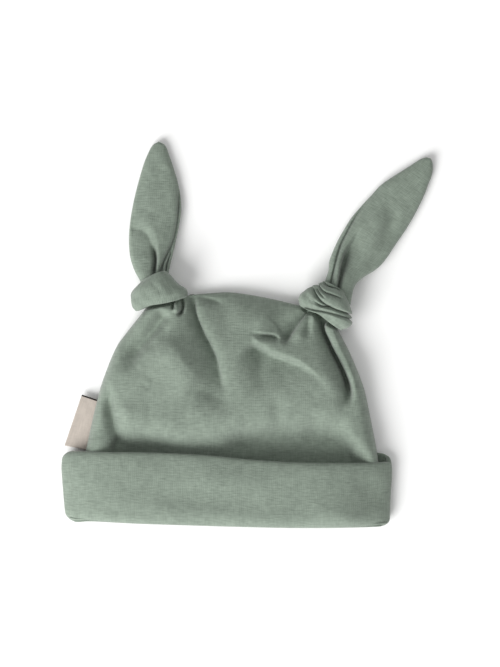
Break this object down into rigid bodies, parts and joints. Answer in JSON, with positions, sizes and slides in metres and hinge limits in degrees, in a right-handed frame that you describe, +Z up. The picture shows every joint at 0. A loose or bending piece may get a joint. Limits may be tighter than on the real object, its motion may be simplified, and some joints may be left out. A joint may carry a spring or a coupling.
{
  "type": "baby hat with knotted ears",
  "caption": "Soft jersey baby hat with a turned-up cuff, a gathered crown and long knotted ears, lying flat on its back.",
  "frame": {"origin": "on the surface that the hat lies on, under the middle of the cuff", "axes": "+X across the hat, +Y from the head opening towards the ears, +Z up from the surface to the hat's front"},
  "size_m": [0.1958, 0.2031, 0.0231],
  "materials": {
    "jersey": "soft matt sage green cotton jersey with faint slubs",
    "label_tape": "plain woven cream tape"
  },
  "bodies": {
    "root": {"crown": "jersey", "cuff": "jersey", "knot_left": "jersey", "knot_right": "jersey", "ear_left": "jersey", "ear_right": "jersey", "label": "label_tape"}
  },
  "joints": []
}
